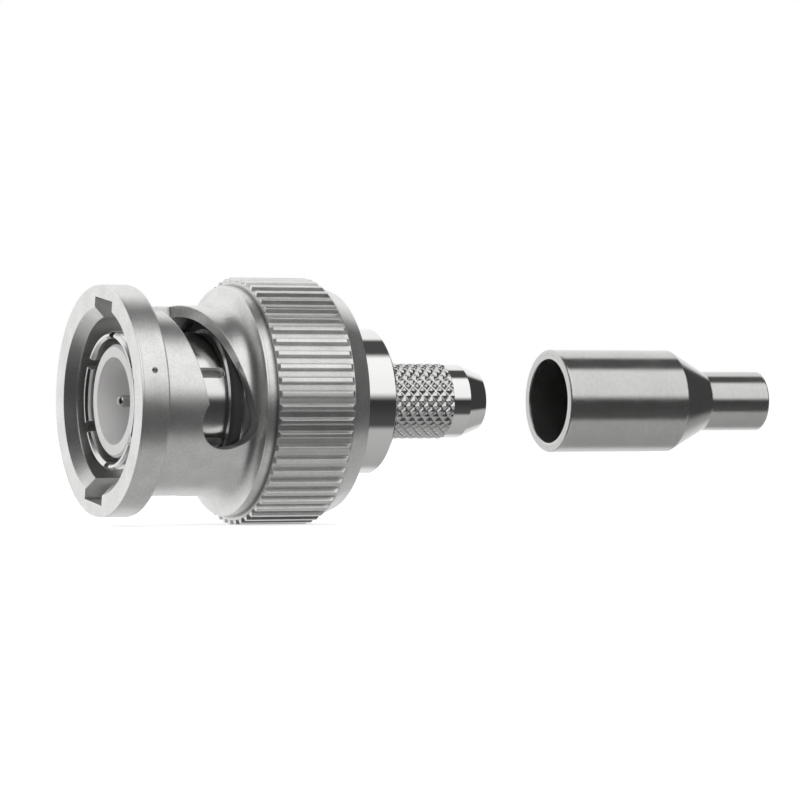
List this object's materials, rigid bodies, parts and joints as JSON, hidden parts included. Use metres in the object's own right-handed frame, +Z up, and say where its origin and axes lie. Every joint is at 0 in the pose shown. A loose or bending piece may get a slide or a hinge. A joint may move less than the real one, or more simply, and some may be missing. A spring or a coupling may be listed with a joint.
{
  "type": "bnc connector",
  "caption": "Bayonet coaxial crimp plug with knurled coupling nut, slotted outer contact, centre pin and a stepped crimp ferrule.",
  "frame": {"origin": "centre of the coupling nut's front face, on the plug's axis, with the nut pulled back by its springs", "axes": "+X along the plug's axis towards the cable, +Z up with the plug lying on its grip"},
  "size_m": [0.0436, 0.0144, 0.0144],
  "materials": {
    "satin_nickel": "nickel plated, satin",
    "bright_nickel": "nickel plated, bright",
    "polished_nickel": "nickel plated, polished",
    "spring_steel": "spring steel",
    "silver_plate": "silver plated",
    "white_ptfe": "turned white fluoropolymer",
    "gasket_rubber": "silicone rubber"
  },
  "bodies": {
    "plug": {"plug_body": "bright_nickel", "contact_sleeve": "bright_nickel", "crimp_body": "polished_nickel", "front_insulator": "white_ptfe", "rear_insulator": "white_ptfe", "centre_contact": "silver_plate", "gasket": "gasket_rubber", "wave_washer_front": "spring_steel", "wave_washer_rear": "spring_steel"},
    "thrust": {"thrust_washer": "spring_steel"},
    "nut": {"coupling_nut": "satin_nickel", "retaining_ring": "spring_steel"},
    "ferrule": {"crimp_ferrule": "polished_nickel"}
  },
  "joints": [
    {"name": "nut_slide", "type": "slide", "parent": "plug", "child": "thrust", "axis": [-1, 0, 0], "range_m": [0, 0.0005], "stiffness_N_per_m": 4000, "springref_m": -0.0005, "deforming": ["wave_washer_front", "wave_washer_rear"]},
    {"name": "nut_turn", "type": "hinge", "parent": "thrust", "child": "nut", "pos_m": [0, 0, 0], "axis": [-1, 0, 0], "continuous": true},
    {"name": "ferrule_slide", "type": "slide", "parent": "plug", "child": "ferrule", "axis": [-1, 0, 0], "range_m": [0, 0.01205]}
  ]
}
